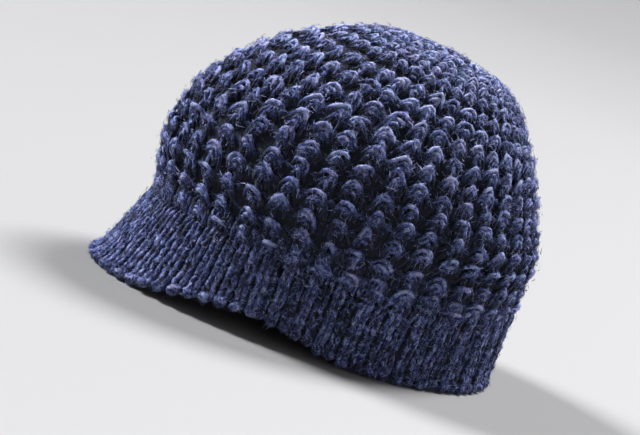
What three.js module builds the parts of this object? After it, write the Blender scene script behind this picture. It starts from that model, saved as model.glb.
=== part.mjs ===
// Knitted beanie with a short ribbed visor, standing on its rim.
// Millimetres, +Z up. The visor points to -Y and the wearer's left is +X.
// A place on the knitting is given by two numbers. Around is the share of the way round
// from the middle of the front, towards +X. Up is the share of the way from the rim to
// the point where the columns of stitches meet.
import * as THREE from 'three';

// Driving dimensions of the form
const bandHeight = 42;         // ribbed band, rim to the seam with the crown
const domeHeight = 120;        // crown, seam to the point where the columns meet
const frontReach = 109;        // fullest part of the crown, ahead of the middle
const backReach = 106;         // fullest part of the crown, behind the middle
const sideReach = 93;          // fullest part of the crown, to each side
const pointSetBack = 30;       // how far behind the middle the columns meet
const pointLean = 10;          // degrees that the top of the crown leans back
const visorReach = 28.5;       // how far the visor's edge stands out ahead of the band
const visorSpread = 13.5;      // how far the visor's edge spreads to each side
const visorAngle = 70;         // degrees each side of the front over which the visor flares
const templeLift = 10.5;       // how far the rim is raised at the temples
const templeAngle = 60;        // degrees from the front to the middle of that raised stretch
const templeWidth = 44;        // degrees from there to where the rim is level again

// Driving dimensions of the knitting
const columns = 40;            // columns of stitches round the hat
const visorColumns = 14;       // columns that run down onto the visor
const visorRibs = 2;           // ribs that each of those columns splits into on the visor
const rows = 15;               // rows of raised stitches on the crown
const wideRows = 11;           // rows below the place where two columns become one
const crownWall = 7;           // thickness of the crown over a raised stitch
const stitchDepth = 3.2;       // hollow between the raised stitches
const bandWall = 6.5;          // thickness of the band over a rib
const bandRibDepth = 2.4;      // furrow between the band's ribs
const visorWall = 9;           // thickness of the visor, which is knitted double
const visorRibDepth = 1.8;     // furrow between the visor's ribs
const seamGap = 0.3;           // clearance between pieces sewn edge to edge
const topRadius = 42;          // round the point, where the raised stitches flatten out

// Shares that shape the form
const seamUp = 0.19;           // up at the seam between band and crown
const leanGrowth = 1.6;        // how late the set back and the lean come in
const rowSpread = 1.13;        // over 1, rows lie closer together near the band
const flareGrowth = 1.2;       // how gently the visor's flare fades at its sides
const ribSteps = 4;            // stretches across one rib of the band or visor
const arcSteps = 720;          // stretches used to measure the way round

// Sections from the rim to the top. Band and dome are shares of the two heights,
// the other columns are shares of the three reaches.
const sections = [
  { up: 0.00, band: 0.00, dome: 0.000, front: 0.840, back: 1.000, side: 0.938 },
  { up: 0.04, band: 0.16, dome: 0.000, front: 0.844, back: 0.988, side: 0.934 },
  { up: 0.19, band: 1.00, dome: 0.000, front: 0.924, back: 0.978, side: 0.970 },
  { up: 0.33, band: 1.00, dome: 0.267, front: 1.000, back: 0.960, side: 1.000 },
  { up: 0.47, band: 1.00, dome: 0.488, front: 0.958, back: 0.842, side: 0.919 },
  { up: 0.60, band: 1.00, dome: 0.669, front: 0.820, back: 0.720, side: 0.787 },
  { up: 0.72, band: 1.00, dome: 0.812, front: 0.644, back: 0.582, side: 0.626 },
  { up: 0.83, band: 1.00, dome: 0.915, front: 0.446, back: 0.449, side: 0.457 },
  { up: 0.92, band: 1.00, dome: 0.977, front: 0.261, back: 0.291, side: 0.281 },
  { up: 1.00, band: 1.00, dome: 1.000, front: 0.000, back: 0.000, side: 0.000 },
];

// Hollow at the four kinds of place on the crown's waffle, as shares of the stitch depth
const waffle = [
  { place: 'crest', column: 1, row: 1, hollow: 0.00 },
  { place: 'neck', column: 1, row: 0, hollow: 0.65 },
  { place: 'furrow', column: 0, row: 1, hollow: 0.80 },
  { place: 'pit', column: 0, row: 0, hollow: 1.00 },
];

// Hollow across one rib, as shares of the rib depth
const ribHollows = [1, 0.25, 0, 0.25];

// Section through the wall of the band and visor, from the seam down to the rim.
// Level is a share of seamUp, outside and inside are shares of the wall.
const hem = [
  { level: 1.00, outside: 0.00, inside: 1.00 },
  { level: 0.74, outside: 0.00, inside: 1.00 },
  { level: 0.46, outside: 0.00, inside: 1.00 },
  { level: 0.22, outside: 0.00, inside: 1.00 },
  { level: 0.07, outside: 0.07, inside: 0.95 },
  { level: 0.00, outside: 0.28, inside: 0.76 },
];

const radians = THREE.MathUtils.degToRad;
const clamp = THREE.MathUtils.clamp;

// Smooth curve through the values of one column that never swings past them
function curveThrough(column) {
  const at = sections.map((row) => row.up);
  const value = sections.map(column);
  const last = at.length - 1;
  const slope = at.slice(1).map((end, i) => (value[i + 1] - value[i]) / (end - at[i]));
  const tangent = at.map((_, i) => {
    if (i === 0) return slope[0];
    if (i === last) return slope[last - 1];
    if (slope[i - 1] * slope[i] <= 0) return 0;
    const before = at[i] - at[i - 1];
    const after = at[i + 1] - at[i];
    const near = 2 * after + before;
    const far = after + 2 * before;
    return (near + far) / (near / slope[i - 1] + far / slope[i]);
  });
  return (up) => {
    let i = 0;
    while (i < last - 1 && up > at[i + 1]) i += 1;
    const step = at[i + 1] - at[i];
    const t = clamp((up - at[i]) / step, 0, 1);
    const rise = value[i + 1] - value[i];
    const start = tangent[i] * step;
    const end = tangent[i + 1] * step;
    return value[i] + start * t + (3 * rise - 2 * start - end) * t * t
      + (start + end - 2 * rise) * t * t * t;
  };
}

const heightAt = curveThrough((row) => row.band * bandHeight + row.dome * domeHeight);
const frontAt = curveThrough((row) => row.front * frontReach);
const backAt = curveThrough((row) => row.back * backReach);
const sideAt = curveThrough((row) => row.side * sideReach);

// Rise of the rim over the temples, fading out at the seam
function templeRise(angle, height) {
  const fromTemple = Math.abs(THREE.MathUtils.radToDeg(angle) - templeAngle) / templeWidth;
  if (fromTemple >= 1) return 0;
  return templeLift * Math.cos(fromTemple * Math.PI / 2) ** 2 * clamp(1 - height / bandHeight, 0, 1);
}

// Place on the smooth outer form, angle in radians from the front
function formPoint(angle, up) {
  const fromFront = Math.abs(Math.atan2(Math.sin(angle), Math.cos(angle)));
  const height = heightAt(up);
  const ahead = Math.cos(angle);
  const aside = Math.sin(angle);
  const growth = up ** leanGrowth;
  const along = -ahead * (ahead > 0 ? frontAt(up) : backAt(up));
  const flareSide = clamp(1 - (fromFront / radians(visorAngle)) ** 2, 0, 1) ** flareGrowth;
  const flare = flareSide * clamp(1 - height / bandHeight, 0, 1);
  return new THREE.Vector3(
    sideAt(up) * aside + visorSpread * flare * aside,
    along + pointSetBack * growth - visorReach * flare * ahead,
    height - Math.tan(radians(pointLean) * growth) * along + templeRise(fromFront, height),
  );
}

// Angle reached after a share of the way round, measured on the crown's fullest section
const fullestUp = sections.reduce((best, row) => (row.side > best.side ? row : best)).up;
const lengths = [0];
for (let i = 1; i <= arcSteps; i += 1) {
  const before = formPoint(2 * Math.PI * (i - 1) / arcSteps, fullestUp);
  const after = formPoint(2 * Math.PI * i / arcSteps, fullestUp);
  lengths.push(lengths[i - 1] + before.distanceTo(after));
}
const wayRound = lengths[arcSteps];

function angleAt(around) {
  const turns = Math.floor(around);
  const length = (around - turns) * wayRound;
  let i = 1;
  while (i < arcSteps && lengths[i] < length) i += 1;
  const share = (length - lengths[i - 1]) / (lengths[i] - lengths[i - 1]);
  return 2 * Math.PI * (turns + (i - 1 + share) / arcSteps);
}

// Direction out of the form. It turns level towards the rim, so that the hem is cut level.
function outward(angle, up) {
  const step = 0.002;
  const across = formPoint(angle + step, up).sub(formPoint(angle - step, up));
  const rise = formPoint(angle, Math.min(up + step, 1)).sub(formPoint(angle, Math.max(up - step, 0)));
  const normal = across.cross(rise).normalize();
  normal.z *= clamp(up / seamUp, 0, 1);
  return normal.normalize();
}

// Place in the wall, at a depth below the smooth outer form
function wallPoint(around, up, depth) {
  if (up >= 1) {
    const lean = radians(pointLean);
    const axis = new THREE.Vector3(0, Math.sin(lean), Math.cos(lean));
    return formPoint(0, 1).addScaledVector(axis, -depth);
  }
  const angle = angleAt(around);
  return formPoint(angle, up).addScaledVector(outward(angle, up), -depth);
}

// Triangles between two rings of places. One ring may have twice the places of the other,
// and a ring of one place is a point.
function joinRings(lower, upper) {
  const triangles = [];
  const steps = Math.min(lower.length, upper.length);
  const low = (i) => lower[i % lower.length];
  const high = (i) => upper[i % upper.length];
  if (upper.length === 1) {
    return lower.length === 1 ? [] : lower.map((_, i) => [low(i), low(i + 1), high(0)]);
  }
  if (lower.length === 1) {
    return upper.map((_, i) => [low(0), high(i + 1), high(i)]);
  }
  for (let i = 0; i < steps; i += 1) {
    if (lower.length === upper.length) {
      triangles.push([low(i), low(i + 1), high(i + 1)], [low(i), high(i + 1), high(i)]);
    } else if (lower.length > upper.length) {
      triangles.push([low(2 * i), low(2 * i + 1), high(i)], [low(2 * i + 1), high(i + 1), high(i)]);
      triangles.push([low(2 * i + 1), low(2 * i + 2), high(i + 1)]);
    } else {
      triangles.push([low(i), high(2 * i + 1), high(2 * i)], [low(i), low(i + 1), high(2 * i + 1)]);
      triangles.push([low(i + 1), high(2 * i + 2), high(2 * i + 1)]);
    }
  }
  return triangles;
}

// Geometry from triangles whose corners are places shared by their neighbours
function solidFrom(triangles) {
  const order = new Map();
  const positions = [];
  const index = [];
  for (const corner of triangles.flat()) {
    if (!order.has(corner)) {
      order.set(corner, order.size);
      positions.push(corner.x, corner.y, corner.z);
    }
    index.push(order.get(corner));
  }
  const geometry = new THREE.BufferGeometry();
  geometry.setAttribute('position', new THREE.Float32BufferAttribute(positions, 3));
  geometry.setIndex(index);
  geometry.computeVertexNormals();
  return geometry;
}

// Crown: a hollow dome with a raised stitch at each crossing of a column and a row
function crownGeometry() {
  const upAt = (row) => seamUp + (1 - seamUp) * (row / rows) ** rowSpread;
  const gapUp = seamUp * (1 + seamGap / 2 / bandHeight);
  const fromTop = (up) => clamp((domeHeight + bandHeight) * (1 - up) / topRadius, 0, 1);
  const hollowAt = (column, row) => (
    waffle.find((kind) => kind.column === column && kind.row === row).hollow
  );
  const outer = [];
  const inner = [];
  for (let step = 0; step < 2 * rows; step += 1) {
    const row = step / 2;
    const up = step === 0 ? gapUp : upAt(row);
    const places = row <= wideRows ? 2 * columns : columns;
    const ring = [];
    for (let i = 0; i < places; i += 1) {
      ring.push(wallPoint(i / places, up, stitchDepth * fromTop(up) * hollowAt(i % 2, step % 2)));
    }
    outer.push(ring);
    if (step % 2 === 0) {
      const innerPlaces = row <= wideRows ? columns : columns / 2;
      const innerPlace = (_, i) => wallPoint(i / innerPlaces, up, crownWall);
      inner.push(Array.from({ length: innerPlaces }, innerPlace));
    }
  }
  const top = [[wallPoint(0, 1, 0)], [wallPoint(0, 1, crownWall)]];
  const rings = [...outer, ...top, ...inner.reverse()];
  const triangles = rings.flatMap((ring, i) => joinRings(ring, rings[(i + 1) % rings.length]));
  return solidFrom(triangles);
}

// Band or visor: ribbed wall from one column to another, with a rounded hem
function ribbedGeometry(firstColumn, lastColumn, ribsInColumn, wall, ribDepth) {
  const stations = (lastColumn - firstColumn) * ribsInColumn * ribSteps;
  const gapAround = seamGap / 2 / wayRound;
  const gapLevel = seamGap / 2 / bandHeight;
  const loops = [];
  for (let i = 0; i <= stations; i += 1) {
    let around = (firstColumn + i / ribSteps / ribsInColumn) / columns;
    if (i === 0) around += gapAround;
    if (i === stations) around -= gapAround;
    const furrow = ribDepth * ribHollows[i % ribSteps];
    const upAt = (row) => seamUp * Math.min(row.level, 1 - gapLevel);
    const atShare = (row, share) => wallPoint(around, upAt(row), furrow + (wall - furrow) * share);
    const outside = hem.map((row) => atShare(row, row.outside));
    const inside = hem.map((row) => atShare(row, row.inside));
    loops.push([...outside, ...inside.reverse()]);
  }
  const triangles = loops.slice(1).flatMap((loop, i) => joinRings(loops[i], loop));
  return solidFrom([...triangles, ...endCap(loops[0], false), ...endCap(loops[stations], true)]);
}

// Face that closes one end of a ribbed wall
function endCap(ring, facesOn) {
  const triangles = [];
  const last = ring.length - 1;
  for (let i = 0; i < ring.length / 2 - 1; i += 1) {
    triangles.push([ring[i], ring[last - i - 1], ring[i + 1]]);
    triangles.push([ring[i], ring[last - i], ring[last - i - 1]]);
  }
  return facesOn ? triangles.map(([a, b, c]) => [a, c, b]) : triangles;
}

const waffleWool = new THREE.MeshStandardMaterial({ color: 0x2b3158, roughness: 0.95, metalness: 0 });
waffleWool.flatShading = true; // so that the sides of the raised stitches read as relief
const ribWool = new THREE.MeshStandardMaterial({ color: 0x343b66, roughness: 0.95, metalness: 0 });
const visorWool = new THREE.MeshStandardMaterial({ color: 0x454d7d, roughness: 0.95, metalness: 0 });

function piece(name, geometry, material) {
  const mesh = new THREE.Mesh(geometry, material);
  mesh.name = name;
  return mesh;
}

const edgeColumn = visorColumns / 2;
const bandGeometry = ribbedGeometry(edgeColumn, columns - edgeColumn, 1, bandWall, bandRibDepth);
const visorGeometry = ribbedGeometry(-edgeColumn, edgeColumn, visorRibs, visorWall, visorRibDepth);
const hat = new THREE.Group();
hat.add(piece('crown', crownGeometry(), waffleWool));
hat.add(piece('band', bandGeometry, ribWool));
hat.add(piece('visor', visorGeometry, visorWool));

// The origin lies under the middle of the whole hat, on the surface that it stands on
const box = new THREE.Box3().setFromObject(hat);
hat.position.set(-(box.min.x + box.max.x) / 2, -(box.min.y + box.max.y) / 2, -box.min.z);

export default hat;
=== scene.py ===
import itertools
import math
import bpy
import bmesh
import numpy as np
from mathutils import Euler, Matrix, Vector


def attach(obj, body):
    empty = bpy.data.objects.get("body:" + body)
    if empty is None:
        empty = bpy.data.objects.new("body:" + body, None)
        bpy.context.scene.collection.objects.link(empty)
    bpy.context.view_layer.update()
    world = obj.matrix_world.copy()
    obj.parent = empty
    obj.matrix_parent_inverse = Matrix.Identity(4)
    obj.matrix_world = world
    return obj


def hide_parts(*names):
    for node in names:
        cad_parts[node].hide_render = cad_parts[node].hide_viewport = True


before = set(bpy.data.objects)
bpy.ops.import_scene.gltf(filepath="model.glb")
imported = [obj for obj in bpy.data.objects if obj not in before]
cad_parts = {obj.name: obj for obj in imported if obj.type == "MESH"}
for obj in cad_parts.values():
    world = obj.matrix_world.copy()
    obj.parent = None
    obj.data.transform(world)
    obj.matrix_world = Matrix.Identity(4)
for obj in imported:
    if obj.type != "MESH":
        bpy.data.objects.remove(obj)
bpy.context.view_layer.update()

# The hat's form, the same sizes as the CAD model's. Lengths are in metres, angles in degrees.
hatForm = {
    "bandHeight": 0.042,
    "domeHeight": 0.120,
    "frontReach": 0.109,
    "backReach": 0.106,
    "sideReach": 0.093,
    "pointSetBack": 0.030,
    "pointLean": 10,
    "visorReach": 0.0285,
    "visorSpread": 0.0135,
    "visorAngle": 70,
    "templeLift": 0.0105,
    "templeAngle": 60,
    "templeWidth": 44,
    "seamUp": 0.19,
    "leanGrowth": 1.6,
    "flareGrowth": 1.2,
    # up, share of the band, share of the dome, share of the front, back and side reach
    "sections": [
        (0.00, 0.00, 0.000, 0.840, 1.000, 0.938),
        (0.04, 0.16, 0.000, 0.844, 0.988, 0.934),
        (0.19, 1.00, 0.000, 0.924, 0.978, 0.970),
        (0.33, 1.00, 0.267, 1.000, 0.960, 1.000),
        (0.47, 1.00, 0.488, 0.958, 0.842, 0.919),
        (0.60, 1.00, 0.669, 0.820, 0.720, 0.787),
        (0.72, 1.00, 0.812, 0.644, 0.582, 0.626),
        (0.83, 1.00, 0.915, 0.446, 0.449, 0.457),
        (0.92, 1.00, 0.977, 0.261, 0.291, 0.281),
        (1.00, 1.00, 1.000, 0.000, 0.000, 0.000),
    ],
}

knitting = {
    "columns": 40,
    "visorColumns": 14,
    "rows": 15,
    "rowSpread": 1.13,
    "fineRow": 12,           # from this row up, each row is two rows of small stitches
    "narrowRow": 13,         # from this row up, two columns are one
    "topRow": 14,            # and from this row up, two of those are one again
    "paintedLightRow": 6,            # from this row up, the wool is painted paler: painted light where light falls on the top
    "paintedTopLight": 0.42,        # and by how much
    "seed": 7,
}


# Smooth curve through one column of the sections, without overshoot
def curveThrough(values):
    at = np.array([row[0] for row in hatForm["sections"]])
    value = np.array(values)
    step = np.diff(at)
    slope = np.diff(value) / step
    tangent = np.zeros(len(at))
    tangent[0], tangent[-1] = slope[0], slope[-1]
    for i in range(1, len(at) - 1):
        if slope[i - 1] * slope[i] > 0:
            near, far = 2 * step[i] + step[i - 1], step[i] + 2 * step[i - 1]
            tangent[i] = (near + far) / (near / slope[i - 1] + far / slope[i])

    def curve(up):
        up = np.clip(up, 0, 1)
        i = np.clip(np.searchsorted(at, up, side="right") - 1, 0, len(at) - 2)
        t = (up - at[i]) / step[i]
        rise = value[i + 1] - value[i]
        start, end = tangent[i] * step[i], tangent[i + 1] * step[i]
        return value[i] + start * t + (3 * rise - 2 * start - end) * t**2 + (start + end - 2 * rise) * t**3
    return curve


sectionTable = np.array(hatForm["sections"])
heightAt = curveThrough(
    sectionTable[:, 1] * hatForm["bandHeight"] + sectionTable[:, 2] * hatForm["domeHeight"]
)
frontAt = curveThrough(sectionTable[:, 3] * hatForm["frontReach"])
backAt = curveThrough(sectionTable[:, 4] * hatForm["backReach"])
sideAt = curveThrough(sectionTable[:, 5] * hatForm["sideReach"])


# Place on the smooth outer form, angle in radians from the front
def formPoint(angle, up):
    angle, up = np.broadcast_arrays(angle, up)
    fromFront = np.degrees(np.abs(np.arctan2(np.sin(angle), np.cos(angle))))
    height = heightAt(up)
    ahead, aside = np.cos(angle), np.sin(angle)
    growth = np.clip(up, 0, 1) ** hatForm["leanGrowth"]
    along = -ahead * np.where(ahead > 0, frontAt(up), backAt(up))
    low = np.clip(1 - height / hatForm["bandHeight"], 0, 1)
    flare = np.clip(1 - (fromFront / hatForm["visorAngle"]) ** 2, 0, 1) ** hatForm["flareGrowth"] * low
    fromTemple = np.clip(np.abs(fromFront - hatForm["templeAngle"]) / hatForm["templeWidth"], 0, 1)
    lift = hatForm["templeLift"] * np.cos(fromTemple * math.pi / 2) ** 2 * low
    x = sideAt(up) * aside + hatForm["visorSpread"] * flare * aside
    y = along + hatForm["pointSetBack"] * growth - hatForm["visorReach"] * flare * ahead
    z = height - np.tan(math.radians(hatForm["pointLean"]) * growth) * along + lift
    return np.stack([x, y, z], axis=-1)


# Angle after a share of the way round, measured on the fullest section
fullestUp = float(sectionTable[np.argmax(sectionTable[:, 5]), 0])
waySteps = 720
wayAngles = np.linspace(0, 2 * math.pi, waySteps + 1)
wayPoints = formPoint(wayAngles, fullestUp)
wayLengths = np.concatenate([[0], np.cumsum(np.linalg.norm(np.diff(wayPoints, axis=0), axis=1))])


def angleAt(around):
    turns = np.floor(around)
    return 2 * math.pi * turns + np.interp((around - turns) * wayLengths[-1], wayLengths, wayAngles)


def unit(vectors):
    tiny = 1e-12
    return vectors / np.maximum(np.linalg.norm(vectors, axis=-1, keepdims=True), tiny)


# The CAD model stands with its box centred, so the form moves back to match
crestColumns = angleAt((np.arange(knitting["columns"]) + 0.5) / knitting["columns"])
crestUps = np.linspace(0.01, 0.6, 60)      # it reaches furthest at one of these
crestReach = formPoint(crestColumns[:, None], crestUps[None])[..., 1]
formShift = np.array([0, -(crestReach.min() + crestReach.max()) / 2, 0])


# Place in the wall at a depth below the outer form. The depth turns level towards the rim.
def wallPoint(around, up, depth):
    around, up, depth = np.broadcast_arrays(around, up, depth)
    angle = angleAt(around)
    step = 0.002
    upHere = np.clip(up, 0, 1 - step)
    across = formPoint(angle + step, upHere) - formPoint(angle - step, upHere)
    rise = formPoint(angle, upHere + step) - formPoint(angle, np.maximum(upHere - step, 0))
    normal = unit(np.cross(across, rise))
    normal[..., 2] *= np.clip(upHere / hatForm["seamUp"], 0, 1)
    return formPoint(angle, up) - unit(normal) * depth[..., None] + formShift


# Place on a ribbed wall by how far its section is followed: 0 at the seam outside,
# 1 at the start of the hem, 2 where the hem ends inside, 3 at the seam inside.
# Below 0 it goes on into the crown, up to the overlap.
ribOverlap = 0.4


def ribPlace(around, along, wall):
    around, along = np.broadcast_arrays(around, along)
    hemUp = hatForm["seamUp"] * 0.5 * wall / hatForm["bandHeight"]
    turn = np.clip(along - 1, 0, 1) * math.pi
    outside = hatForm["seamUp"] + (hemUp - hatForm["seamUp"]) * np.clip(along, -ribOverlap, 1)
    inside = hemUp + (hatForm["seamUp"] - hemUp) * np.clip(along - 2, 0, 1)
    up = np.where(along < 1, outside, np.where(along > 2, inside, hemUp * (1 - np.sin(turn))))
    depth = wall / 2 * (1 - np.cos(turn))
    return wallPoint(around, up, depth)


# How far apart places are taken to find the fabric's directions. Along a rib, up is backwards.
crownStep = 0.002
ribStep = -0.01


# Directions across, along and out at places given by a function of around and along
def fabricFrames(place, around, along, alongStep):
    aroundStep = 0.001
    here = place(around, along)
    across = place(around + aroundStep, along) - place(around - aroundStep, along)
    up = place(around, along + alongStep) - place(around, along - alongStep)
    out = unit(np.cross(across, up))
    return {
        "place": here,
        "across": unit(across),
        "up": unit(up),
        "out": out,
        "pitch": np.linalg.norm(across, axis=-1) / (2 * aroundStep),
        "reach": np.linalg.norm(up, axis=-1) / (2 * abs(alongStep)),
    }


# One strand of yarn: a ring is extruded along a path, thinner towards its ends
def extrudeStrand(bm, layers, strand):
    path, radius, sides = strand["path"], strand["radius"], strand["sides"]
    points = [Vector(p) for p in path]
    ring = bmesh.ops.create_circle(bm, cap_ends=False, segments=sides, radius=radius)["verts"]
    turns = [math.atan2(vert.co.y, vert.co.x) for vert in ring]
    edges = list({edge for vert in ring for edge in vert.link_edges})
    current = list(ring)
    length = 0.0
    for i, point in enumerate(points):
        ahead, sideways, outward = strandAxes(points, i)
        if i > 0:
            length += (point - points[i - 1]).length
            extruded = bmesh.ops.extrude_edge_only(bm, edges=edges)["geom"]
            edges = [g for g in extruded if isinstance(g, bmesh.types.BMEdge)]
            current = matchRing(current, extruded)
        share = i / (len(points) - 1)
        reach = radius * (1 - strand["taper"] * abs(2 * share - 1) ** 3)
        for j, vert in enumerate(current):
            turn = turns[j] + strand["twist"] * share
            vert.co = point + (sideways * math.cos(turn) + outward * math.sin(turn)) * reach
            vert[layers["along"]] = length
            vert[layers["side"]] = j / sides
            vert[layers["heading"]] = ahead
            # painted shade towards the strand's ends
            vert[layers["tone"]] = strand["tone"] - strand["paintedLegShade"] * (2 * share - 1) ** 2


# Directions along a path, to its side and out of the fabric, also where it dives steeply
steepest = 0.2


def strandAxes(points, i):
    ahead = (points[min(i + 1, len(points) - 1)] - points[max(i - 1, 0)]).normalized()
    sideways = ahead.cross(Vector((0, 0, 1)))
    if sideways.length < steepest:
        sideways = Vector((1, 0, 0)) - ahead * ahead.x
    sideways.normalize()
    return ahead, sideways, sideways.cross(ahead)


# The new ring in the order of the old one
def matchRing(old, extruded):
    new = {g for g in extruded if isinstance(g, bmesh.types.BMVert)}
    return [next(e.other_vert(v) for e in v.link_edges if e.other_vert(v) in new) for v in old]


# Locks of wool lie along a strand: narrow strips that follow it and lift a little at their ends
lockShape = {
    "steps": 2,
    "length": (0.0011, 0.0028),
    "width": 0.00040,
    "widthShare": (0.6, 1.4),
    "narrowing": 0.75,        # share of the width that is gone at the ends
    "around": (-35, 215),     # degrees round the strand, 90 is the side away from the head
    "twist": 80,
    "lift": 1.03,             # it lies just off the strand's own radius
    "loft": 0.0003,
    "loftShare": (0, 1.6),
    "skew": 0.0016,
    "tone": (-0.15, 1.25),
    "uvSize": (0.012, 0.05),
}


def layLock(bm, layers, strand):
    lock = lockShape
    points = [Vector(p) for p in strand["path"]]
    last = len(points) - 1
    span = min(1, rng.uniform(*lock["length"]) / pathLength(points))
    start = rng.uniform(0, 1 - span)
    skew = rng.normal(0, lock["skew"])
    around = math.radians(rng.uniform(*lock["around"]))
    twist = math.radians(rng.normal(0, lock["twist"]))
    width = lock["width"] * rng.uniform(*lock["widthShare"])
    loft = lock["loft"] * rng.uniform(*lock["loftShare"])
    # painted shade on locks near the strand's ends
    tone = rng.uniform(*lock["tone"]) - strand["paintedLegShade"] * (2 * start + span - 1) ** 2
    strip = bmesh.ops.create_grid(bm, x_segments=lock["steps"], y_segments=1, size=0.5)["verts"]
    for vert in strip:
        share, side = vert.co.x + 0.5, vert.co.y * 2
        at = (start + span * share) * last
        i = min(int(at), last - 1)
        point = points[i].lerp(points[i + 1], at - i)
        ahead, sideways, outward = strandAxes(points, round(at))
        turn = around + twist * share
        away = sideways * math.cos(turn) + outward * math.sin(turn)
        end = (2 * share - 1) ** 2
        thinning = strand["taper"] * abs(2 * at / last - 1) ** 3
        reach = strand["radius"] * (lock["lift"] - thinning) + loft * end
        across = side * width * (1 - lock["narrowing"] * end) / 2 + skew * (2 * share - 1)
        vert.co = point + away * reach + away.cross(ahead) * across
        vert[layers["along"]] = at / last * lock["uvSize"][0]
        vert[layers["side"]] = side * lock["uvSize"][1]
        vert[layers["heading"]] = ahead
        vert[layers["tone"]] = tone
        vert[layers["away"]] = away


# Strands and their locks joined into one stitch, as arrays ready to be repeated
def stitchMaster(strands):
    bm = bmesh.new()
    uvLayer = bm.loops.layers.uv.new("yarn")
    layers = {
        "along": bm.verts.layers.float.new("along"),
        "side": bm.verts.layers.float.new("side"),
        "tone": bm.verts.layers.float.new("tone"),
        "heading": bm.verts.layers.float_vector.new("heading"),
        "away": bm.verts.layers.float_vector.new("away"),
    }
    for strand in strands:
        extrudeStrand(bm, layers, strand)
    bmesh.ops.holes_fill(bm, edges=bm.edges[:], sides=0)
    bmesh.ops.recalc_face_normals(bm, faces=bm.faces[:])
    for strand in strands:
        for _ in range(strand["locks"]):
            layLock(bm, layers, strand)
    bm.normal_update()
    inward = [face for face in bm.faces if face.normal.dot(face.verts[0][layers["away"]]) < 0]
    bmesh.ops.reverse_faces(bm, faces=inward)
    bm.normal_update()
    for face in bm.faces:
        values = [loop.vert[layers["side"]] for loop in face.loops]
        wraps = max(values) - min(values) > 0.5      # the face that closes the ring
        for loop in face.loops:
            across = loop.vert[layers["side"]]
            loop[uvLayer].uv = (loop.vert[layers["along"]], across + (1 if wraps and across < 0.5 else 0))
    master = arraysOf(bm, uvLayer)
    master["tone"] = np.array([vert[layers["tone"]] for vert in bm.verts])
    master["headings"] = np.array([vert[layers["heading"]][:] for vert in bm.verts])
    master["normals"] = np.array([vert.normal[:] for vert in bm.verts])
    bm.free()
    return master


# A bmesh as plain arrays, ready to be repeated
def arraysOf(bm, uvLayer):
    bm.verts.index_update()
    verts = np.array([vert.co[:] for vert in bm.verts])
    sizes = np.array([len(face.verts) for face in bm.faces])
    corners = np.array([loop.vert.index for face in bm.faces for loop in face.loops])
    uvs = np.array([loop[uvLayer].uv[:] for face in bm.faces for loop in face.loops])
    return {"verts": verts, "sizes": sizes, "corners": corners, "uvs": uvs}


# How the yarn's pattern lies on each copy of a stitch
yarnPattern = {
    "uvScale": (100.0, 1.0),      # along the yarn, per metre, and round it
    "uvShift": 50,
    "toneSpread": 0.10,
}


# Copies of a master laid on the fabric. scale holds the three scales of each copy.
def layCopies(master, frames, scale, turn, shade):
    count = len(frames["place"])
    local = master["verts"][None] * scale[:, None, :]
    cosine, sine = np.cos(turn)[:, None], np.sin(turn)[:, None]

    def turned(vectors):
        x, y, z = vectors[..., 0], vectors[..., 1], vectors[..., 2]
        return (
            frames["across"][:, None] * (x * cosine - y * sine)[..., None]
            + frames["up"][:, None] * (x * sine + y * cosine)[..., None]
            + frames["out"][:, None] * z[..., None]
        )

    verts = frames["place"][:, None] + turned(local)
    shiftAlong = rng.uniform(0, yarnPattern["uvShift"], count)
    shiftRound = np.floor(rng.uniform(0, yarnPattern["uvShift"], count))
    offset = np.stack([shiftAlong, shiftRound], axis=-1)
    uvs = master["uvs"][None] * np.array(yarnPattern["uvScale"]) + offset[:, None]
    tone = master["tone"][None] + rng.normal(shade, yarnPattern["toneSpread"], (count, 1))
    return {
        "verts": verts.reshape(-1, 3),
        "sizes": np.tile(master["sizes"], count),
        "corners": (master["corners"][None] + np.arange(count)[:, None] * len(master["verts"])).ravel(),
        "uvs": uvs.reshape(-1, 2),
        "tone": tone.ravel(),
        "deep": np.tile(-master["verts"][:, 2], count),
        "outs": np.repeat(frames["out"], len(master["verts"]), axis=0),
        "headings": turned(np.broadcast_to(master["headings"][None], local.shape)).reshape(-1, 3),
        "normals": turned(np.broadcast_to(master["normals"][None], local.shape)).reshape(-1, 3),
    }


def joinArrays(parts):
    base = 0
    corners = []
    for part in parts:
        corners.append(part["corners"] + base)
        base += len(part["verts"])
    joined = {key: np.concatenate([part[key] for part in parts]) for key in parts[0] if key != "corners"}
    joined["corners"] = np.concatenate(corners)
    return joined


# A mesh object from joined arrays. Nothing of it reaches through the floor.
lowestPoint = 0.0001


def makePiece(name, arrays, material):
    arrays["verts"][:, 2] = np.maximum(arrays["verts"][:, 2], lowestPoint)
    mesh = bpy.data.meshes.new(name)
    mesh.vertices.add(len(arrays["verts"]))
    mesh.vertices.foreach_set("co", arrays["verts"].astype(np.float32).ravel())
    mesh.loops.add(len(arrays["corners"]))
    mesh.loops.foreach_set("vertex_index", arrays["corners"].astype(np.int32))
    mesh.polygons.add(len(arrays["sizes"]))
    starts = np.concatenate([[0], np.cumsum(arrays["sizes"])[:-1]]).astype(np.int32)
    mesh.polygons.foreach_set("loop_start", starts)
    mesh.polygons.foreach_set("use_smooth", np.full(len(starts), True))
    uvLayer = mesh.uv_layers.new(name="yarn")
    mesh.update(calc_edges=True)
    uvLayer.data.foreach_set("uv", arrays["uvs"].astype(np.float32).ravel())
    for key in ("tone", "deep"):
        layer = mesh.attributes.new(key, "FLOAT", "POINT")
        layer.data.foreach_set("value", arrays[key].astype(np.float32))
    mesh.validate()
    mesh.materials.append(material)
    obj = bpy.data.objects.new(name, mesh)
    bpy.context.scene.collection.objects.link(obj)
    return obj


def settle(obj, node):
    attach(obj, "root")
    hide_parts(node)
    return obj
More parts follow.
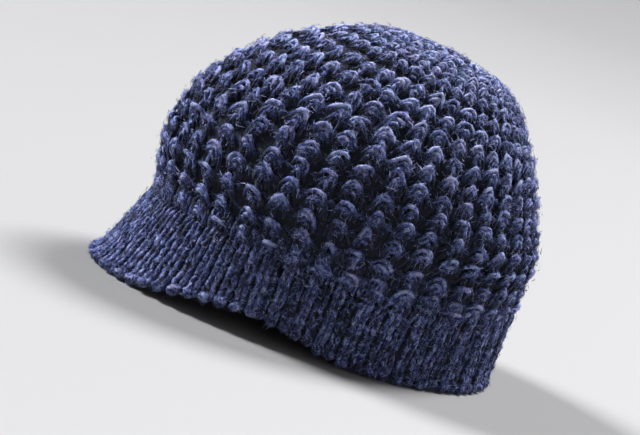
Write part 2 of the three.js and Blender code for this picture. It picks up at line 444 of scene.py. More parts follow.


# Wool: streaks of fibre along the yarn, heathered from near black to lavender, with painted shade that
# darkens it deep in the fabric
def woolMaterial(name, look):
    material = bpy.data.materials.new(name)
    material.use_nodes = True
    nodes, links = material.node_tree.nodes, material.node_tree.links
    shader = nodes["Principled BSDF"]
    shader.inputs["Roughness"].default_value = look["roughness"]
    shader.inputs["Specular IOR Level"].default_value = look["specular"]
    shader.inputs["Sheen Weight"].default_value = look["sheen"]
    shader.inputs["Sheen Roughness"].default_value = look["sheenRoughness"]
    shader.inputs["Sheen Tint"].default_value = look["sheenTint"]
    uvNode = nodes.new("ShaderNodeUVMap")
    uvNode.uv_map = "yarn"

    def streaks(scale, detail, title):
        mapping = nodes.new("ShaderNodeMapping")
        mapping.inputs["Scale"].default_value = scale
        mapping.inputs["Rotation"].default_value = (0, 0, math.radians(look["fibreTurn"]))
        noise = nodes.new("ShaderNodeTexNoise")
        noise.inputs["Scale"].default_value = 1
        noise.inputs["Detail"].default_value = detail
        noise.inputs["Roughness"].default_value = look["streakRoughness"]
        noise.inputs["Distortion"].default_value = look["curl"]
        noise.name = title
        links.new(uvNode.outputs["UV"], mapping.inputs["Vector"])
        links.new(mapping.outputs["Vector"], noise.inputs["Vector"])
        return noise.outputs["Fac"]

    def ownValue(title):
        node = nodes.new("ShaderNodeAttribute")
        node.attribute_name = title
        return node.outputs["Fac"]

    fine = streaks(look["fineScale"], look["fineDetail"], "fine fibres")
    broad = streaks(look["broadScale"], look["broadDetail"], "heather")
    objectPlace = nodes.new("ShaderNodeTexCoord")
    patch = nodes.new("ShaderNodeTexNoise")
    patch.inputs["Scale"].default_value = look["patchScale"]
    patch.inputs["Detail"].default_value = look["patchDetail"]
    patch.inputs["Roughness"].default_value = look["patchRoughness"]
    links.new(objectPlace.outputs["Object"], patch.inputs["Vector"])

    # Each signal moves the shade up or down from the middle, by its gain and how far it is from its rest.
    # The depth signal paints shade deep in the fabric, and the tone signal carries the painted light and
    # shade laid on the stitches.
    blend = look["middle"]
    for signal, gain, rest in (
        (fine, look["fineGain"], 0.5),
        (broad, look["broadGain"], 0.5),
        (patch.outputs["Fac"], look["patchGain"], 0.5),
        (ownValue("tone"), look["toneGain"], 0.5),
        (ownValue("deep"), -look["deepGain"], look["deepFrom"]),
    ):
        offset = nodes.new("ShaderNodeMath")
        offset.operation = "SUBTRACT"
        links.new(signal, offset.inputs[0])
        offset.inputs[1].default_value = rest
        node = nodes.new("ShaderNodeMath")
        node.operation = "MULTIPLY_ADD"
        links.new(offset.outputs[0], node.inputs[0])
        node.inputs[1].default_value = gain
        if isinstance(blend, float):
            node.inputs[2].default_value = blend
        else:
            links.new(blend, node.inputs[2])
        blend = node.outputs[0]
    ramp = nodes.new("ShaderNodeValToRGB")
    elements = ramp.color_ramp.elements
    elements[0].position, elements[0].color = look["ramp"][0]
    elements[1].position, elements[1].color = look["ramp"][-1]
    for position, colour in look["ramp"][1:-1]:
        elements.new(position).color = colour
    links.new(blend, ramp.inputs["Fac"])

    # Some patches of the wool lean to steel blue, others to lavender
    dye = nodes.new("ShaderNodeTexNoise")
    dye.inputs["Scale"].default_value = look["dyeScale"]
    dye.inputs["Detail"].default_value = look["dyeDetail"]
    links.new(objectPlace.outputs["Object"], dye.inputs["Vector"])
    hue = nodes.new("ShaderNodeValToRGB")
    hueEnds = hue.color_ramp.elements
    hueEnds[0].position, hueEnds[0].color = look["steel"]
    hueEnds[1].position, hueEnds[1].color = look["lavender"]
    links.new(dye.outputs["Fac"], hue.inputs["Fac"])
    dyed = nodes.new("ShaderNodeMix")
    dyed.data_type = "RGBA"
    dyed.blend_type = "MULTIPLY"
    dyed.inputs[0].default_value = 1
    links.new(ramp.outputs["Color"], dyed.inputs[6])
    links.new(hue.outputs["Color"], dyed.inputs[7])
    links.new(dyed.outputs[2], shader.inputs["Base Color"])
    fuzz = nodes.new("ShaderNodeMath")
    fuzz.operation = "ADD"
    links.new(fine, fuzz.inputs[0])
    links.new(patch.outputs["Fac"], fuzz.inputs[1])
    bump = nodes.new("ShaderNodeBump")
    bump.inputs["Strength"].default_value = look["bump"]
    bump.inputs["Distance"].default_value = look["bumpDistance"]
    links.new(fuzz.outputs[0], bump.inputs["Height"])
    links.new(bump.outputs["Normal"], shader.inputs["Normal"])
    return material


def look(**changes):
    base = {
        "roughness": 0.92,
        "specular": 0.08,
        "sheen": 0.17,
        "sheenRoughness": 0.45,
        "sheenTint": (0.55, 0.60, 0.95, 1),
        "fibreTurn": 12,           # degrees that the streaks run askew to the yarn
        "curl": 1.2,
        "fineScale": (9.0, 15.0, 1.0),
        "fineDetail": 3,
        "broadScale": (2.6, 5.0, 1.0),
        "broadDetail": 2,
        "streakRoughness": 0.6,
        "patchScale": 330,
        "patchDetail": 4,
        "patchRoughness": 0.68,
        "dyeScale": 110,
        "dyeDetail": 2,
        "steel": (0.42, (0.84, 0.97, 1.00, 1)),
        "lavender": (0.70, (1.00, 0.96, 1.00, 1)),
        "middle": 0.59,
        "fineGain": 1.7,
        "broadGain": 0.9,
        "patchGain": 1.7,
        "toneGain": 0.52,
        "deepGain": 92.0,          # painted shade: darker per metre of depth, for the shade deep in the fabric
        "deepFrom": 0.0022,
        "ramp": [
            (0.10, (0.013, 0.013, 0.014, 1)),
            (0.36, (0.017, 0.019, 0.034, 1)),
            (0.56, (0.034, 0.047, 0.152, 1)),
            (0.76, (0.150, 0.163, 0.350, 1)),
            (0.97, (0.300, 0.303, 0.455, 1)),
        ],
        "bump": 0.7,
        "bumpDistance": 0.0010,
    }
    base.update(changes)
    return base


woolBody = woolMaterial("waffleWool", look())
woolRib = woolMaterial("ribWool", look(middle=0.46, deepGain=60.0, patchGain=2.1, broadGain=1.3))
woolVisor = woolMaterial("visorWool", look(
    middle=0.58, deepGain=80.0, deepFrom=0.0016, patchGain=1.9, fineGain=1.6,
))
rng = np.random.default_rng(knitting["seed"])

# Raised stitch of the crown: strands arch over each other and dive into the fabric
archStitch = {
    "strands": [
        # half width, top, drop, lift, yarn radius, tone
        (0.0055, 0.0042, 0.0092, 0.0000, 0.00118, 0.48),
        (0.0038, 0.0016, 0.0078, -0.0003, 0.00112, 0.38),
        (0.0020, -0.0008, 0.0054, -0.0010, 0.00105, 0.24),
    ],
    # top, foot, depth, yarn radius, tone of the strand that runs down to the next arch
    "stem": (-0.0024, -0.0098, 0.0024, 0.00140, 0.20),
    "point": (1.35, 2.20),
    "lean": 0.11,
    "uneven": 0.20,
    "spread": 1.38,
    "dive": 0.0030,
    "diveCurve": 2.2,
    "tilt": 0.20,
    "sway": (0.0008, 2.2),    # of the stem: how far aside, and radians of a wave
    "pitch": 0.0150,          # the column and row that the sizes above are drawn for
    "rowPitch": 0.0104,
    # Near the band and higher up: height as a share of the row, width of the column, and thickness
    "reaching": (1.14, 1.0),
    "fullness": (1.02, 1.30),
    "relief": (1.0, 0.6),
    "tallest": 0.94,          # height over width, at most
    "paintedLegShade": 0.85,         # painted shade: the legs of an arch, where they dive into the fabric, are darker than its top
    "wobble": 0.00100,
    "variants": 16,
    "steps": 8,
    "sides": 5,
    "taper": 0.35,
    "locks": 24,
}

# Bar between two columns of the crown, low in the furrow
barStitch = {
    "halfWidth": 0.0040,
    "radius": 0.00120,
    "tone": 0.00,
    "low": 0.0032,
    "dive": 0.0012,
    "bow": 0.0012,
    "slant": 0.35,
    "wobble": 0.00050,
    "variants": 5,
    "steps": 4,
    "sides": 4,
    "taper": 0.3,
    "locks": 6,
}

# Knit stitch of the ribs: two legs that meet low down
knitStitch = {
    "legs": [(-1, 0.0017, 0.0012), (1, 0.0017, 0.0012)],
    "length": 0.0088,
    "radius": 0.00145,
    "tone": 0.36,
    "dive": 0.0009,
    "diveCurve": 2.5,
    "bow": 0.0002,
    "pitch": 0.0075,
    "rowPitch": 0.0052,
    "wobble": 0.00036,
    "variants": 5,
    "steps": 5,
    "sides": 5,
    "taper": 0.45,
    "locks": 9,
}

# Bead of the rim: a fat loop that wraps from the outside to the inside
beadStitch = {
    "reach": 0.0016,
    "wrap": 1.8,              # radians, to each side
    "radius": 0.0026,
    # painted light: the beads' tone is raised for the lit rim
    "tone": 0.40,
    "alternate": 0.08,        # every second bead is lighter, the others darker
    # share of the painted depth shade that the beads get
    "paintedDepthShadeShare": 0.4,
    "proud": 0.0005,          # how far the beads on the outside of the hem stand out
    "outerHeight": 0.6,       # their height, as a share of those at the rim
    "wobble": 0.00025,
    "variants": 5,
    "steps": 6,
    "sides": 7,
    "taper": 0.3,
    "locks": 26,
}


def wobblyPath(stitch, placeAt, steps):
    wobble = rng.normal(0, stitch["wobble"], (steps + 1, 3))
    wobble[1:-1] = (wobble[:-2] + 2 * wobble[1:-1] + wobble[2:]) / 4
    return [Vector(placeAt(2 * i / steps - 1)) + Vector(wobble[i]) for i in range(steps + 1)]


# Each of these gives the path, radius and tone of a stitch's strands. A path runs from t = -1 to 1.
def archPaths(arch):
    point = rng.uniform(*arch["point"])
    lean, uneven = rng.normal(0, arch["lean"]), rng.normal(0, arch["uneven"])
    for halfWidth, top, drop, lift, radius, tone in arch["strands"]:
        def placeAt(t):
            x = halfWidth * math.sin(arch["spread"] * t) / math.sin(arch["spread"])
            y = top - drop * abs(t) ** point * (1 + uneven * t)
            z = lift - radius - arch["dive"] * abs(t) ** arch["diveCurve"] - arch["tilt"] * (top - y)
            return x + lean * y, y, z
        yield wobblyPath(arch, placeAt, arch["steps"]), radius, tone
    top, foot, depth, radius, tone = arch["stem"]
    sway, waves = arch["sway"]

    def stemPlaceAt(t):
        return sway * math.sin(waves * t), top + (foot - top) * (t + 1) / 2, -depth - radius
    yield wobblyPath(arch, stemPlaceAt, arch["steps"] // 2), radius, tone


def barPaths(bar):
    def placeAt(t):
        y = bar["bow"] * (0.5 - t * t) - bar["slant"] * t * bar["halfWidth"]
        return t * bar["halfWidth"], y, -bar["low"] - bar["radius"] - bar["dive"] * abs(t) ** 2
    yield wobblyPath(bar, placeAt, bar["steps"]), bar["radius"], bar["tone"]


def knitPaths(knit):
    for side, topOut, lowOut in knit["legs"]:
        def placeAt(t):
            x = side * (lowOut + (topOut - lowOut) * (t + 1) / 2 + knit["bow"] * (1 - t * t))
            z = -knit["radius"] - knit["dive"] * abs(t) ** knit["diveCurve"]
            return x, t * knit["length"] / 2, z
        yield wobblyPath(knit, placeAt, knit["steps"]), knit["radius"], knit["tone"]


def beadPaths(bead):
    def placeAt(t):
        turn = bead["wrap"] * t
        return 0.0, bead["reach"] * math.sin(turn), -bead["radius"] - bead["reach"] * (1 - math.cos(turn))
    yield wobblyPath(bead, placeAt, bead["steps"]), bead["radius"], bead["tone"]


def pathLength(path):
    return sum((b - a).length for a, b in zip(path, path[1:]))


# How the strands of a stitch's variants differ
strandSpread = {
    "twist": 2,
    "tone": 0.08,
}


# Variants of a stitch. Its shorter strands have fewer locks.
def mastersOf(stitch, paths):
    masters = []
    for _ in range(stitch["variants"]):
        strands = []
        laid = list(paths(stitch))
        longest = max(pathLength(path) for path, _, _ in laid)
        for path, radius, tone in laid:
            strands.append({
                "path": path,
                "radius": radius,
                "sides": stitch["sides"],
                "taper": stitch["taper"],
                "twist": rng.uniform(-strandSpread["twist"], strandSpread["twist"]),
                "tone": tone + rng.normal(0, strandSpread["tone"]),
                "paintedLegShade": stitch.get("paintedLegShade", 0),
                "locks": math.ceil(stitch["locks"] * pathLength(path) / longest),
            })
        masters.append(stitchMaster(strands))
    return masters


# Stitches at given places, each a random variant of its kind
def scatterStitches(masters, frames, scale, turn, shade):
    parts = []
    kinds = rng.integers(0, len(masters), len(turn))
    for kind, master in enumerate(masters):
        chosen = kinds == kind
        if chosen.any():
            some = {key: value[chosen] for key, value in frames.items()}
            parts.append(layCopies(master, some, scale[chosen], turn[chosen], shade))
    return parts


# Crown: rows lie closer together near the band, and columns join towards the top
def crownRowUp(row):
    if row < 0:
        return hatForm["seamUp"] * (1 + row * archStitch["rowPitch"] / hatForm["bandHeight"])
    return hatForm["seamUp"] + (1 - hatForm["seamUp"]) * (row / knitting["rows"]) ** knitting["rowSpread"]


def columnsIn(row):
    if row < knitting["narrowRow"]:
        return knitting["columns"]
    return knitting["columns"] // (2 if row < knitting["topRow"] else 4)


def crownPlace(around, up):
    return wallPoint(around, up, np.zeros(np.shape(up)))


# How the crown's stitches are laid. A range of rows is where a value of archStitch changes.
crownLaying = {
    "aroundSpread": 0.04,         # of a column
    "upSpread": 0.0028,
    "sizeSpread": 0.08,
    "turnSpread": 0.13,
    "reachingRows": (0, 6),
    "fullnessRows": (4, 9),
    "reliefRows": (6, 11),
    "heightLimits": (0.5, 1.1),   # as high as it is wide, within these
    "rowsToFullPaintedLight": 5,
}
# The arches fade out over the top of the band: these rows are sunk, and painted shade darkens them
lowestRows = {
    -0.6: {"sunk": 0.0010, "shade": -0.05},
    -1.4: {"sunk": 0.0019, "shade": -0.05},
}
# Ends of the band and of the visor, in columns from the middle of the front
edgeColumn = knitting["visorColumns"] / 2
bandEnds = (edgeColumn, knitting["columns"] - edgeColumn)
visorEnds = (-edgeColumn, edgeColumn)


def crownStitches(rows):
    laying = crownLaying
    arches, bars = mastersOf(archStitch, archPaths), mastersOf(barStitch, barPaths)
    # Rows and their heights: whole ones, those over the band, and fine ones as two halves each
    laidRows = [(row, 1.0) for row in rows if row < knitting["fineRow"]]
    laidRows += [(row, 1.0) for row in lowestRows] if 0 in rows else []
    laidRows += [(row + half, 0.5) for row in rows if row >= knitting["fineRow"] for half in (0, 0.5)]
    parts = []
    for (row, height), bar in itertools.product(laidRows, (False, True)):
        count = columnsIn(row)
        stray = rng.normal(0, laying["aroundSpread"], count)
        around = (np.arange(count) + (0 if bar else 0.5) + stray) / count
        up = crownRowUp(row + height / 2) + rng.normal(0, laying["upSpread"], count) * height
        if row < 0:
            onBand = np.abs(around - 0.5) * knitting["columns"] < (bandEnds[1] - bandEnds[0]) / 2
            around, up = around[onBand], up[onBand]
            count = len(around)
        frames = fabricFrames(crownPlace, around, up, crownStep)
        rowLength = (crownRowUp(row + height) - crownRowUp(row)) * frames["reach"]
        fullness = np.interp(row, laying["fullnessRows"], archStitch["fullness"])
        wide = frames["pitch"] / count / archStitch["pitch"] * fullness
        tall = np.minimum(rowLength / archStitch["rowPitch"], wide * archStitch["tallest"])
        tall *= np.interp(row, laying["reachingRows"], archStitch["reaching"])
        relief = np.interp(row, laying["reliefRows"], archStitch["relief"])
        proud = np.sqrt(np.clip(wide, *laying["heightLimits"])) * relief
        scale = np.stack([wide, tall, proud], axis=-1) * rng.normal(1, laying["sizeSpread"], (count, 3))
        # Painted light: the top rows are painted paler
        shade = knitting["paintedTopLight"] * np.clip((row - knitting["paintedLightRow"]) / laying["rowsToFullPaintedLight"], 0, 1)
        if row < 0:
            frames["place"] = frames["place"] - frames["out"] * lowestRows[row]["sunk"]
            shade += lowestRows[row]["shade"]
        turn = rng.normal(0, laying["turnSpread"], count)
        parts += scatterStitches(bars if bar else arches, frames, scale, turn, shade)
    return joinArrays(parts)


# Ribbed wall: columns run down the outside and up the inside, with a bead round the rim between them.
# A pair of values is for the seam and the hem, and ribs are at shares of a column.
bandShape = {
    "wall": 0.0065,
    "rows": 8,
    "above": [-0.075, -0.20],     # rows that run on under the crown's lowest stitches
    "hem": [1.5],
    "rim": [1.5],
    "ribs": (0.5, 0.0),
    "purlRib": 0.0,               # it lies back outside, and the other one inside
    "paleBead": 0.0,
    "furrow": (0.0017, 0.0006),   # how far
    # painted shade in the purl ribs that lie back, darker at the seam than at the hem
    "purlPaintedShade": (-0.25, -0.06),
    "outsidePaintedShading": (0.0, 0.0),
}
visorShape = {
    "wall": 0.009,
    "rows": 9,
    "above": [-0.07, -0.16],
    "hem": [1.15, 1.5, 1.85],
    "rim": [1.15, 1.5],
    "ribs": (0.25, 0.75),
    "purlRib": None,
    "paleBead": 0.25,
    # painted shade on the outside near the seam, under the crown, and painted light at the hem
    "outsidePaintedShading": (-0.32, 0.10),
}
ribLaying = {
    "aroundSpread": 0.015,        # of a column
    "alongSpread": 0.05,          # of a row
    "sizeSpread": 0.07,
    "turnSpread": 0.1,
    "outsideEnd": 1.4,            # levels below it show from outside
    "insideStart": 1.6,           # and levels above it lie inside
    "hemHeight": 0.55,            # of knit stitches on the hem
    "hemDepth": 0.0012,
    "underCrownDepth": 0.011,     # rows above the seam, per unit of the section
    # painted shade on the rows under the crown's stitches, per unit of the section
    "underCrownPaintedShade": -1.0,
}
insideKnit = {**knitStitch, "steps": 3, "sides": 4, "locks": 1}


def ribStitches(ends, shape):
    laying = ribLaying
    knits, beads = mastersOf(knitStitch, knitPaths), mastersOf(beadStitch, beadPaths)
    insides = mastersOf(insideKnit, knitPaths)
    columns, rows = knitting["columns"], shape["rows"]
    levels = [(row + 0.5) / rows for row in range(rows)]
    levels += shape["hem"] + [2 + level for level in levels] + shape["above"]
    slack = 0.001
    parts = []

    def place(around, along):
        return ribPlace(around, along, shape["wall"])

    for level, rib in itertools.product(levels, shape["ribs"]):
        inside = level > laying["insideStart"]
        onRim = level in shape["rim"]
        purl = shape["purlRib"] is not None and (rib == shape["purlRib"]) != inside
        around = np.arange(math.ceil(ends[0] - rib), ends[1] - rib + slack) + rib
        count = len(around)
        around = (around + rng.normal(0, laying["aroundSpread"], count)) / columns
        along = level + rng.normal(0, laying["alongSpread"] / rows, count)
        frames = fabricFrames(place, around, along, ribStep)
        wide = frames["pitch"] / columns / 2 / knitStitch["pitch"]
        tall = frames["reach"] / rows / knitStitch["rowPitch"]
        sunk = -min(level, 0) * laying["underCrownDepth"]
        # Painted shade on the outside near the seam and on the rows under the crown, and on the visor
        # painted light at the hem
        shade = np.interp(level, [0, 1], shape["outsidePaintedShading"]) - min(level, 0) * laying["underCrownPaintedShade"]
        if purl:
            sunk += np.interp(level, [0, 1], shape["furrow"])
            shade += np.interp(level, [0, 1], shape["purlPaintedShade"])
        if onRim:
            outer = level < laying["outsideEnd"]
            height = beadStitch["outerHeight"] if outer else 1
            tall = np.full(count, shape["wall"] / bandShape["wall"] * height)
            sunk -= beadStitch["proud"] * outer
            shade += beadStitch["alternate"] * (1 if rib == shape["paleBead"] else -1)
        elif 1 < level < 2:
            tall = np.full(count, laying["hemHeight"])
            sunk += laying["hemDepth"]
        frames["place"] = frames["place"] - frames["out"] * sunk
        scale = np.stack([wide, tall, np.ones(count)], axis=-1)
        scale = scale * rng.normal(1, laying["sizeSpread"], (count, 3))
        masters = beads if onRim else insides if inside else knits
        laid = scatterStitches(masters, frames, scale, rng.normal(0, laying["turnSpread"], count), shade)
        # The beads get only a share of the painted depth shade
        if onRim:
            for part in laid:
                part["deep"] *= beadStitch["paintedDepthShadeShare"]
        parts += laid
    return joinArrays(parts)


# Fibres on the yarn: thin, tapered strips that lie over it every which way
fibreShape = {
    "length": 0.0019,
    "lengthShare": (0.5, 1.5),
    "width": 0.00036,
    "widthShare": (0.5, 1.4),
    "narrowing": 0.75,        # share of the width that is gone at the tip
    "steps": 1,
    "startSpread": 0.001,     # along the yarn
    "stray": 1.70,
    "flatness": 0.9,          # 1 lays a fibre level with the fabric
    "lift": 0.03,
    "liftShare": (0.2, 1.6),
    "bend": 0.75,
    "inward": 0.9,            # the bend takes the tip back down to the yarn
    "roll": 0.4,
    "tone": (0.0, 1.5),
    "lowest": 0.0002,
}


def fibreArrays(source, count, lengthShare):
    fibre = fibreShape
    bm = bmesh.new()
    uvLayer = bm.loops.layers.uv.new("yarn")
    bmesh.ops.create_grid(bm, x_segments=fibre["steps"], y_segments=1, size=0.5)
    for face in bm.faces:
        for loop in face.loops:
            loop[uvLayer].uv = loop.vert.co[:2]
    master = arraysOf(bm, uvLayer)
    bm.free()
    share = (master["verts"][:, 0] + 0.5)[None, :, None]
    side = (master["verts"][:, 1] * 2)[None, :, None]
    pick = rng.integers(0, len(source["verts"]), count)
    normal, heading, out = unit(source["normals"][pick]), source["headings"][pick], source["outs"][pick]
    spread = fibre["startSpread"]
    start = source["verts"][pick] + heading * rng.uniform(-spread, spread, (count, 1))
    sign = rng.choice([-1.0, 1.0], count)[:, None]
    direction = heading * sign + rng.normal(0, fibre["stray"], (count, 3))
    direction -= out * np.einsum("ij,ij->i", direction, out)[:, None] * fibre["flatness"]
    lift = fibre["lift"] * rng.uniform(*fibre["liftShare"], (count, 1))
    direction = unit(unit(direction) + normal * lift)
    bend = rng.normal(0, fibre["bend"], (count, 3)) - normal * fibre["inward"]
    bend -= out * np.maximum(np.einsum("ij,ij->i", bend, out), 0)[:, None]
    length = fibre["length"] * lengthShare * rng.uniform(*fibre["lengthShare"], (count, 1, 1))
    across = unit(np.cross(direction, normal + rng.normal(0, fibre["roll"], (count, 3))))
    width = fibre["width"] * rng.uniform(*fibre["widthShare"], (count, 1, 1))
    verts = (
        start[:, None] + direction[:, None] * length * share + bend[:, None] * length * share ** 2 / 2
        + across[:, None] * width * (1 - fibre["narrowing"] * share) * side / 2
    )
    verts[..., 2] = np.maximum(verts[..., 2], fibre["lowest"])
    shift = rng.uniform(0, yarnPattern["uvShift"], (count, 1, 1))
    return {
        "verts": verts.reshape(-1, 3),
        "sizes": np.tile(master["sizes"], count),
        "corners": (master["corners"][None] + np.arange(count)[:, None] * len(master["verts"])).ravel(),
        "uvs": (np.tile(master["uvs"], (count, 1, 1)) + shift).reshape(-1, 2),
        "tone": np.repeat(rng.uniform(*fibre["tone"], count), len(master["verts"])),
        "deep": np.repeat(source["deep"][pick], len(master["verts"])),
    }


print("stage: crown stitches")
crownParts = [("low", range(0, 5)), ("middle", range(5, 9)), ("high", range(9, 15))]
crownArrays = {name: crownStitches(rows) for name, rows in crownParts}
for name, arrays in crownArrays.items():
    settle(makePiece("crown_stitches_" + name, arrays, woolBody), "crown")

print("stage: band and visor stitches")
band, visor = ribStitches(bandEnds, bandShape), ribStitches(visorEnds, visorShape)
settle(makePiece("band_stitches", band, woolRib), "band")
settle(makePiece("visor_stitches", visor, woolVisor), "visor")

print("stage: fibres")
# How many there are, and how long they are as a share of fibreShape's length
fibreCover = {
    "low": (34000, 1.0),
    "middle": (34000, 1.0),
    "high": (28000, 1.0),
    "band": (34000, 0.8),
    "visor": (22000, 0.65),
}
for name, arrays in crownArrays.items():
    fibres = makePiece("crown_fibres_" + name, fibreArrays(arrays, *fibreCover[name]), woolBody)
    settle(fibres, "crown")
bandFibres = makePiece("band_fibres", fibreArrays(band, *fibreCover["band"]), woolRib)
settle(bandFibres, "band")
visorFibres = makePiece("visor_fibres", fibreArrays(visor, *fibreCover["visor"]), woolVisor)
settle(visorFibres, "visor")

# Ground knitting behind the raised stitches: a grid laid out as a closed wall. At the share called
# foot it is back where it started, inside. The crown's wall turns inwards at the share called turn.
groundShape = {
    "uvScale": (60, 12),
    "mergeDistance": 0.00002,
    "leastEdge": 0.00001,
    "foot": 0.96,
}
crownGround = {
    "faces": (160, 60),           # round and up
    "turn": 0.48,
    "outer": (0.0050, 0.0034),    # depth low down and at the top
    "outerUps": (0.55, 0.85),
    "inner": 0.0068,
    "purl": 0.0006,
}
ribGround = {
    "bandFaces": (104, 50),
    "visorFaces": (56, 50),
    "skin": 0.0026,
    "skinLimit": 0.42,            # of the wall
    "edge": 0.01,
}


def groundPiece(name, place, faces, material):
    bm = bmesh.new()
    uvLayer = bm.loops.layers.uv.new("yarn")
    bmesh.ops.create_grid(bm, x_segments=faces[0], y_segments=faces[1], size=0.5)
    flat = np.array([vert.co[:2] for vert in bm.verts]) + 0.5
    acrossScale, upScale = groundShape["uvScale"]
    for face in bm.faces:
        for loop in face.loops:
            loop[uvLayer].uv = ((loop.vert.co.x + 0.5) * acrossScale, (loop.vert.co.y + 0.5) * upScale)
    for vert, co in zip(bm.verts, place(flat[:, 0], flat[:, 1])):
        vert.co = co
    bmesh.ops.remove_doubles(bm, verts=bm.verts[:], dist=groundShape["mergeDistance"])
    bmesh.ops.dissolve_degenerate(bm, dist=groundShape["leastEdge"], edges=bm.edges[:])
    bmesh.ops.holes_fill(bm, edges=[edge for edge in bm.edges if edge.is_boundary], sides=0)
    bmesh.ops.recalc_face_normals(bm, faces=bm.faces[:])
    return smoothObject(name, bm, material)


# A smooth object made from a bmesh, which is used up
def smoothObject(name, bm, material):
    mesh = bpy.data.meshes.new(name)
    bm.to_mesh(mesh)
    bm.free()
    mesh.materials.append(material)
    for polygon in mesh.polygons:
        polygon.use_smooth = True
    obj = bpy.data.objects.new(name, mesh)
    bpy.context.scene.collection.objects.link(obj)
    return obj


# The ground wool is painted near black: painted shade in the gaps between the raised stitches
paintedShadeGroundWool = woolMaterial("paintedShadeGround", look(
    middle=0.16, sheen=0.0, deepGain=0.0, toneGain=0.0, fineGain=0.0, broadGain=0.0,
    patchScale=700, patchGain=2.0,
))


def crownGroundPlace(around, share):
    turn, foot = crownGround["turn"], groundShape["foot"]
    outside = (share < turn) | (share > (foot + 1) / 2)
    climb = np.interp(share, [0, turn, foot, 1], [0, 1, 0, 0])
    up = hatForm["seamUp"] + (1 - hatForm["seamUp"]) * climb
    ripple = crownGround["purl"] * np.cos(2 * math.pi * around * knitting["columns"])
    outer = np.interp(up, crownGround["outerUps"], crownGround["outer"])
    depth = np.where(outside, outer, crownGround["inner"] + ripple)
    return wallPoint(around, up, depth)


def ribGroundPlace(ends, wall):
    skin = min(ribGround["skin"], wall * ribGround["skinLimit"])

    def ribAt(around, along):
        return ribPlace(around, along, wall)

    def place(acrossShare, share):
        around = (ends[0] + (ends[1] - ends[0]) * acrossShare) / knitting["columns"]
        along = np.interp(share, [0, groundShape["foot"], 1], [0, 3, 0])
        within = np.clip(along, ribGround["edge"], 3 - ribGround["edge"])
        return ribAt(around, along) - fabricFrames(ribAt, around, within, ribStep)["out"] * skin
    return place


print("stage: ground knitting")
crownGroundPiece = groundPiece("crown_ground", crownGroundPlace, crownGround["faces"], paintedShadeGroundWool)
settle(crownGroundPiece, "crown")
bandPlace = ribGroundPlace(bandEnds, bandShape["wall"])
visorPlace = ribGroundPlace(visorEnds, visorShape["wall"])
settle(groundPiece("band_ground", bandPlace, ribGround["bandFaces"], paintedShadeGroundWool), "band")
settle(groundPiece("visor_ground", visorPlace, ribGround["visorFaces"], paintedShadeGroundWool), "visor")

# Camera: the photograph's angle, with the hat turned a little clockwise in the picture
camera = {
    "azimuth": 76,
    "elevation": 8,
    "roll": 20.2,
    "distance": 1.235,
    "targetHeight": 0.0817,
    "lens": 132.3,
    "sensor": 36,
    "pictureWidth": 640,      # pixels
    "targetRight": 34.3,      # pixels right of the picture's middle
    "targetUp": 39.3,         # pixels above it
}


def placeCamera():
    azimuth, elevation = math.radians(camera["azimuth"]), math.radians(camera["elevation"])
    back = Vector((
        math.sin(azimuth) * math.cos(elevation),
        -math.cos(azimuth) * math.cos(elevation),
        math.sin(elevation),
    ))
    target = Vector((0, float(formShift[1]), camera["targetHeight"]))
    right = Vector((0, 0, 1)).cross(back).normalized()
    up = back.cross(right)
    roll = math.radians(camera["roll"])
    rolledRight = right * math.cos(roll) + up * math.sin(roll)
    rolledUp = up * math.cos(roll) - right * math.sin(roll)
    focal = camera["lens"] / camera["sensor"] * camera["pictureWidth"]
    aside = Euler((-math.atan(camera["targetUp"] / focal), math.atan(camera["targetRight"] / focal), 0))
    turned = Matrix((rolledRight, rolledUp, back)).transposed() @ aside.to_matrix()
    data = bpy.data.cameras.new("camera")
    data.lens = camera["lens"]
    data.sensor_width = camera["sensor"]
    obj = bpy.data.objects.new("camera", data)
    obj.matrix_world = Matrix.Translation(target + back * camera["distance"]) @ turned.to_4x4()
    bpy.context.scene.collection.objects.link(obj)
    return obj


print("stage: camera, floor and light")
bpy.context.scene.camera = placeCamera()

# Studio: a pale floor that curves up into a round wall
studio = {
    "floorRadius": 2.2,
    "bendRadius": 6.0,
    "wallHeight": 6.5,
    "steps": 64,
    "bendSteps": 12,
    "colour": (0.17, 0.17, 0.173, 1),
    "roughness": 0.9,
    "specular": 0.1,
    "mergeDistance": 0.0001,
}


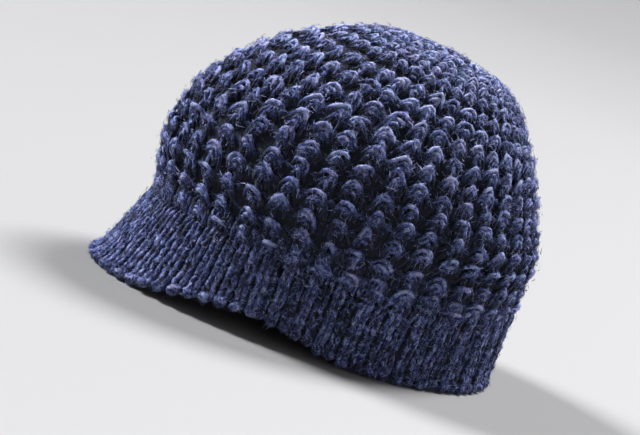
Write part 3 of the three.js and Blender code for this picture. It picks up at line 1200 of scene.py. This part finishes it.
def studioProfile():
    floorRadius, bendRadius = studio["floorRadius"], studio["bendRadius"]
    points = [(0.0, 0.0), (floorRadius, 0.0)]
    for i in range(1, studio["bendSteps"] + 1):
        turn = math.pi / 2 * i / studio["bendSteps"]
        points.append((floorRadius + bendRadius * math.sin(turn), bendRadius * (1 - math.cos(turn))))
    points.append((floorRadius + bendRadius, studio["wallHeight"]))
    return points


def floorMaterial():
    material = bpy.data.materials.new("paleFloor")
    material.use_nodes = True
    inputs = material.node_tree.nodes["Principled BSDF"].inputs
    inputs["Base Color"].default_value = studio["colour"]
    inputs["Roughness"].default_value = studio["roughness"]
    inputs["Specular IOR Level"].default_value = studio["specular"]
    return material


def studioFloor():
    bm = bmesh.new()
    profile = [bm.verts.new((x, 0, z)) for x, z in studioProfile()]
    edges = [bm.edges.new(pair) for pair in zip(profile, profile[1:])]
    bmesh.ops.spin(
        bm, geom=profile + edges, axis=(0, 0, 1), cent=(0, 0, 0), angle=2 * math.pi, steps=studio["steps"],
    )
    bmesh.ops.remove_doubles(bm, verts=bm.verts[:], dist=studio["mergeDistance"])
    bmesh.ops.recalc_face_normals(bm, faces=bm.faces[:])
    # The floor faces up
    bmesh.ops.reverse_faces(bm, faces=[face for face in bm.faces if face.normal.z < -0.5])
    return smoothObject("floor", bm, floorMaterial())


floor = studioFloor()

# Soft studio light
light = {
    "world": 0.18,
    "worldColour": (0.92, 0.93, 0.95, 1),
    "key": (-0.48, -0.95, 0.85),
    "keyStrength": 18.6,
    "keySoftness": 20,
    "rim": (-0.36, 0.60, 0.95),
    "rimStrength": 9.0,
    "rimSoftness": 20,
}
world = bpy.data.worlds.new("studio")
world.use_nodes = True
background = world.node_tree.nodes["Background"].inputs
background["Color"].default_value = light["worldColour"]
background["Strength"].default_value = light["world"]
bpy.context.scene.world = world
bpy.context.scene.view_settings.view_transform = "Standard"


def softSun(name):
    data = bpy.data.lights.new(name, "SUN")
    data.energy = light[name + "Strength"]
    data.angle = math.radians(light[name + "Softness"])
    obj = bpy.data.objects.new(name, data)
    obj.matrix_world = Vector(light[name]).to_track_quat("Z", "Y").to_matrix().to_4x4()
    bpy.context.scene.collection.objects.link(obj)


softSun("key")
softSun("rim")

print("stage: done")
